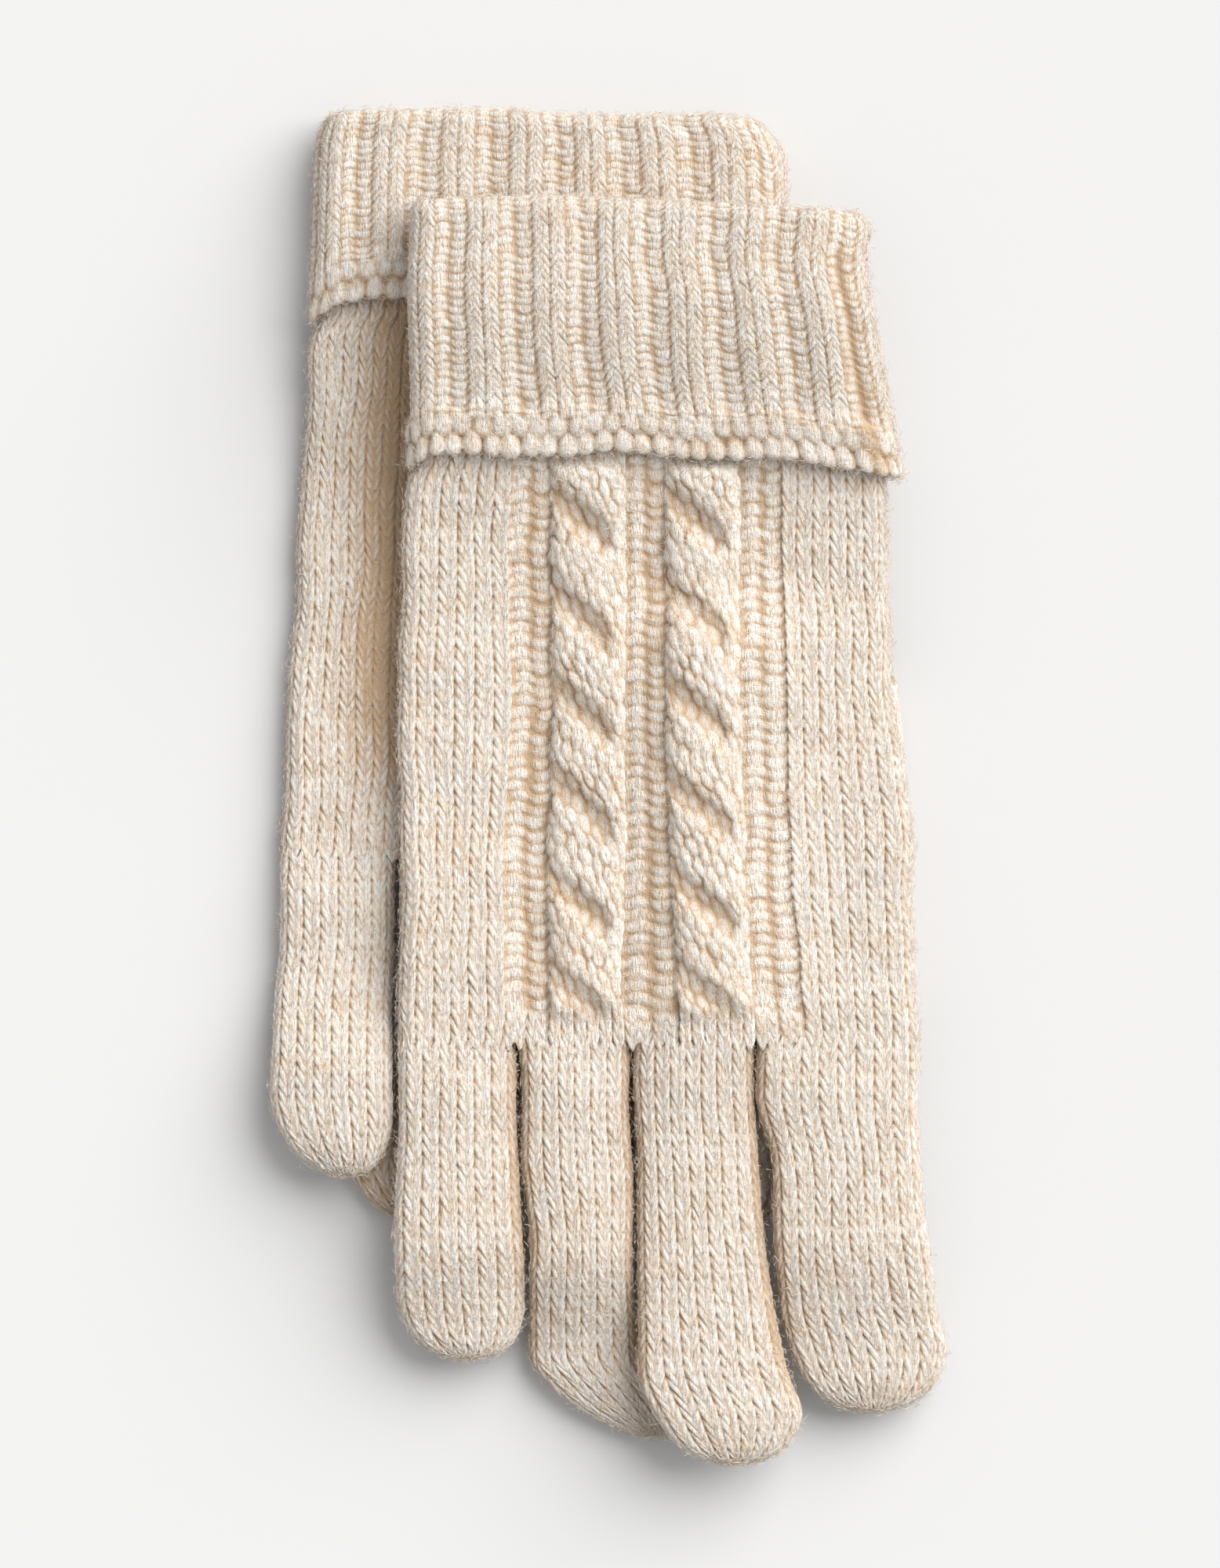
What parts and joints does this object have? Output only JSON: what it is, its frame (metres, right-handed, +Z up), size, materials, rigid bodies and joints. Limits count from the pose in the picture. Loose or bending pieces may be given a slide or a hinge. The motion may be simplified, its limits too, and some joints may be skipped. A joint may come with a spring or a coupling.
{
  "type": "pair of knitted gloves",
  "caption": "Chunky wool gloves with rope cables on the back and turned-up ribbed cuffs, laid flat palm to palm, one on the other, to keep hands warm.",
  "frame": {"origin": "on the surface the gloves lie on, under the middle of the pair's outline", "axes": "+Y from the fingertips towards the cuffs, +Z up from the surface, +X towards the upper glove's index finger"},
  "size_m": [0.125, 0.254, 0.0263],
  "materials": {
    "wool": "matt, fuzzy, marled"
  },
  "bodies": {
    "root": {"upper_cuff": "wool", "upper_hand": "wool", "upper_little_finger": "wool", "upper_ring_finger": "wool", "upper_middle_finger": "wool", "upper_index_finger": "wool", "upper_thumb": "wool", "lower_cuff": "wool", "lower_hand": "wool", "lower_little_finger": "wool", "lower_ring_finger": "wool", "lower_middle_finger": "wool", "lower_index_finger": "wool", "lower_thumb": "wool"}
  },
  "joints": []
}
